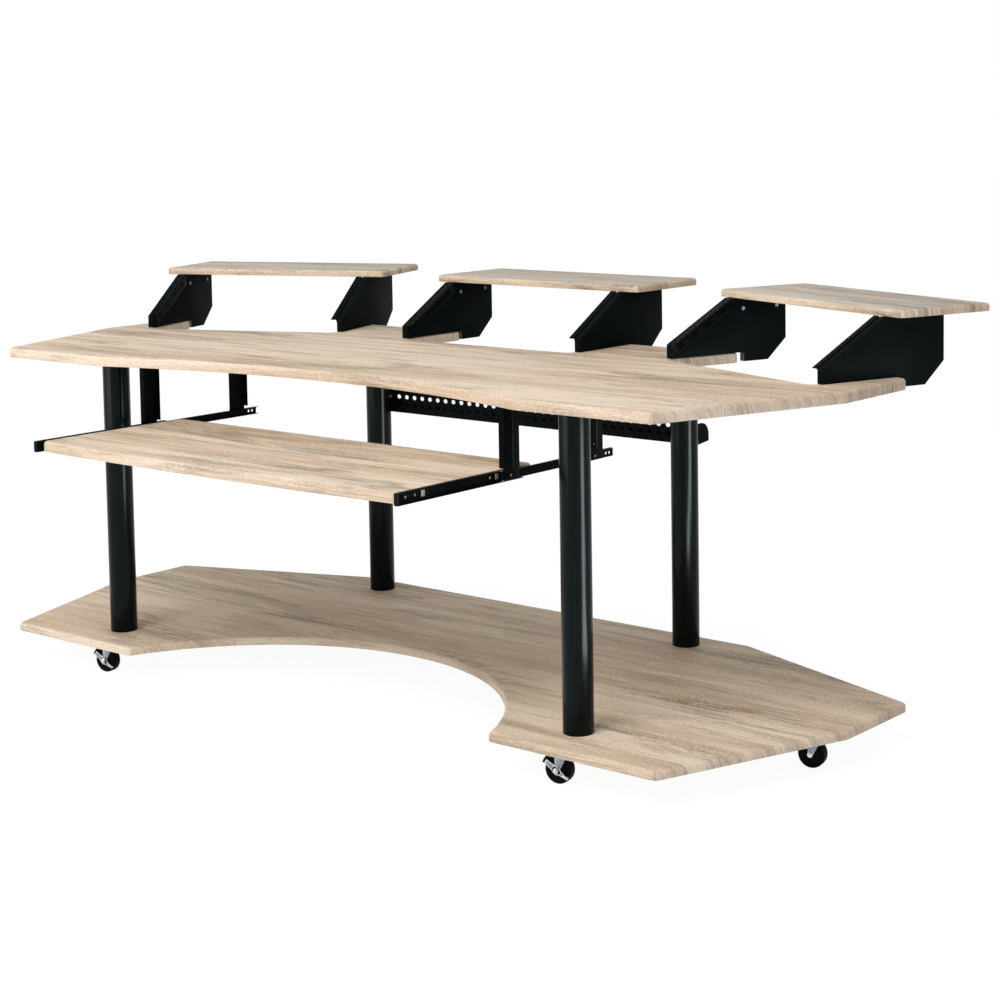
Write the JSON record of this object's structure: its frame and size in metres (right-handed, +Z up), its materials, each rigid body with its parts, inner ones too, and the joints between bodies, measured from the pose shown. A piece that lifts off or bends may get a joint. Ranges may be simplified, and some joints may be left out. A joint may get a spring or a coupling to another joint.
{
  "type": "studio desk",
  "caption": "Wide angled studio desk on casters with a bowed desktop, sloping rack bays under raised shelves, a pull-out keyboard shelf and a cable tray.",
  "frame": {"origin": "on the floor, below the middle of the whole desk's box with the keyboard shelf pulled out", "axes": "+Z up, +Y towards the back of the desk, +X to the right of a person sitting at it"},
  "size_m": [2.3008, 1.2622, 0.865],
  "materials": {
    "oak_laminate": "pale greyed oak laminate, satin",
    "black_tube": "black powder coat, satin gloss",
    "black_panel": "black grained laminate",
    "black_sheet": "black painted sheet steel",
    "zinc": "zinc plated",
    "chrome": "bright chrome",
    "rubber": "black moulded tread",
    "black_plastic": "black moulded plastic"
  },
  "bodies": {
    "desk_frame": {"base_board": "oak_laminate", "desktop": "oak_laminate", "leg_front_left": "black_tube", "leg_front_right": "black_tube", "leg_rear_left": "black_tube", "leg_rear_right": "black_tube", "leg_bolt_front_left": "zinc", "leg_bolt_front_right": "zinc", "leg_bolt_rear_left": "zinc", "leg_bolt_rear_right": "zinc", "left_bay_side_left": "black_panel", "left_bay_side_right": "black_panel", "centre_bay_side_left": "black_panel", "centre_bay_side_right": "black_panel", "right_bay_side_left": "black_panel", "right_bay_side_right": "black_panel", "left_bay_rail_left": "black_sheet", "left_bay_rail_right": "black_sheet", "centre_bay_rail_left": "black_sheet", "centre_bay_rail_right": "black_sheet", "right_bay_rail_left": "black_sheet", "right_bay_rail_right": "black_sheet", "left_riser_shelf": "oak_laminate", "centre_riser_shelf": "oak_laminate", "right_riser_shelf": "oak_laminate", "slide_fixed_member_left": "black_sheet", "slide_fixed_member_right": "black_sheet", "slide_hanger_front_left": "black_sheet", "slide_hanger_front_right": "black_sheet", "slide_hanger_rear_left": "black_sheet", "slide_hanger_rear_right": "black_sheet", "cable_tray": "black_sheet", "caster_plate_front_left": "zinc", "caster_plate_front_right": "zinc", "caster_plate_side_left": "zinc", "caster_plate_side_right": "zinc", "caster_plate_rear_left": "zinc", "caster_plate_rear_right": "zinc"},
    "keyboard_tray": {"keyboard_shelf": "oak_laminate", "slide_drawer_member_left": "black_sheet", "slide_drawer_member_right": "black_sheet"},
    "ball_cages": {"slide_ball_cage_left": "zinc", "slide_ball_cage_right": "zinc"},
    "fork_front_left": {"caster_fork_front_left": "zinc"},
    "fork_front_right": {"caster_fork_front_right": "zinc"},
    "fork_side_left": {"caster_fork_side_left": "zinc"},
    "fork_side_right": {"caster_fork_side_right": "zinc"},
    "fork_rear_left": {"caster_fork_rear_left": "zinc"},
    "fork_rear_right": {"caster_fork_rear_right": "zinc"},
    "wheel_front_left": {"caster_wheel_front_left": "rubber"},
    "wheel_front_right": {"caster_wheel_front_right": "rubber"},
    "wheel_side_left": {"caster_wheel_side_left": "rubber"},
    "wheel_side_right": {"caster_wheel_side_right": "rubber"},
    "wheel_rear_left": {"caster_wheel_rear_left": "rubber"},
    "wheel_rear_right": {"caster_wheel_rear_right": "rubber"},
    "brake_front_left": {"caster_brake_lever_front_left": "chrome", "caster_brake_pad_front_left": "black_plastic"},
    "brake_front_right": {"caster_brake_lever_front_right": "chrome", "caster_brake_pad_front_right": "black_plastic"}
  },
  "joints": [
    {"name": "keyboard_tray_slide", "type": "slide", "parent": "desk_frame", "child": "keyboard_tray", "axis": [0, 1, 0], "range_m": [0, 0.275]},
    {"name": "ball_cage_slide", "type": "slide", "parent": "desk_frame", "child": "ball_cages", "axis": [0, 1, 0], "range_m": [0, 0.1375]},
    {"name": "front_left_swivel", "type": "hinge", "parent": "desk_frame", "child": "fork_front_left", "pos_m": [-0.64821, -0.34783, 0.055], "axis": [0, 0, 1], "continuous": true},
    {"name": "front_right_swivel", "type": "hinge", "parent": "desk_frame", "child": "fork_front_right", "pos_m": [0.67179, -0.34783, 0.055], "axis": [0, 0, 1], "continuous": true},
    {"name": "side_left_swivel", "type": "hinge", "parent": "desk_frame", "child": "fork_side_left", "pos_m": [-0.98071, 0.00917, 0.055], "axis": [0, 0, 1], "continuous": true},
    {"name": "side_right_swivel", "type": "hinge", "parent": "desk_frame", "child": "fork_side_right", "pos_m": [1.00429, 0.00917, 0.055], "axis": [0, 0, 1], "continuous": true},
    {"name": "rear_left_swivel", "type": "hinge", "parent": "desk_frame", "child": "fork_rear_left", "pos_m": [-0.50821, 0.35417, 0.055], "axis": [0, 0, 1], "continuous": true},
    {"name": "rear_right_swivel", "type": "hinge", "parent": "desk_frame", "child": "fork_rear_right", "pos_m": [0.53179, 0.35417, 0.055], "axis": [0, 0, 1], "continuous": true},
    {"name": "front_left_wheel_spin", "type": "hinge", "parent": "fork_front_left", "child": "wheel_front_left", "pos_m": [-0.66, -0.35008, 0.0275], "axis": [-0.1874, 0.9823, 0], "continuous": true},
    {"name": "front_right_wheel_spin", "type": "hinge", "parent": "fork_front_right", "child": "wheel_front_right", "pos_m": [0.66, -0.35008, 0.0275], "axis": [-0.1874, 0.9823, 0], "continuous": true},
    {"name": "side_left_wheel_spin", "type": "hinge", "parent": "fork_side_left", "child": "wheel_side_left", "pos_m": [-0.9925, 0.00692, 0.0275], "axis": [-0.1874, 0.9823, 0], "continuous": true},
    {"name": "side_right_wheel_spin", "type": "hinge", "parent": "fork_side_right", "child": "wheel_side_right", "pos_m": [0.9925, 0.00692, 0.0275], "axis": [-0.1874, 0.9823, 0], "continuous": true},
    {"name": "rear_left_wheel_spin", "type": "hinge", "parent": "fork_rear_left", "child": "wheel_rear_left", "pos_m": [-0.52, 0.35192, 0.0275], "axis": [-0.1874, 0.9823, 0], "continuous": true},
    {"name": "rear_right_wheel_spin", "type": "hinge", "parent": "fork_rear_right", "child": "wheel_rear_right", "pos_m": [0.52, 0.35192, 0.0275], "axis": [-0.1874, 0.9823, 0], "continuous": true},
    {"name": "front_left_brake", "type": "hinge", "parent": "fork_front_left", "child": "brake_front_left", "pos_m": [-0.66, -0.35008, 0.0275], "axis": [0.1874, -0.9823, 0], "range_deg": [0, 12]},
    {"name": "front_right_brake", "type": "hinge", "parent": "fork_front_right", "child": "brake_front_right", "pos_m": [0.66, -0.35008, 0.0275], "axis": [0.1874, -0.9823, 0], "range_deg": [0, 12]}
  ],
  "couplings": [
    {"joint": "ball_cage_slide", "follows": "keyboard_tray_slide", "ratio": 0.5}
  ]
}
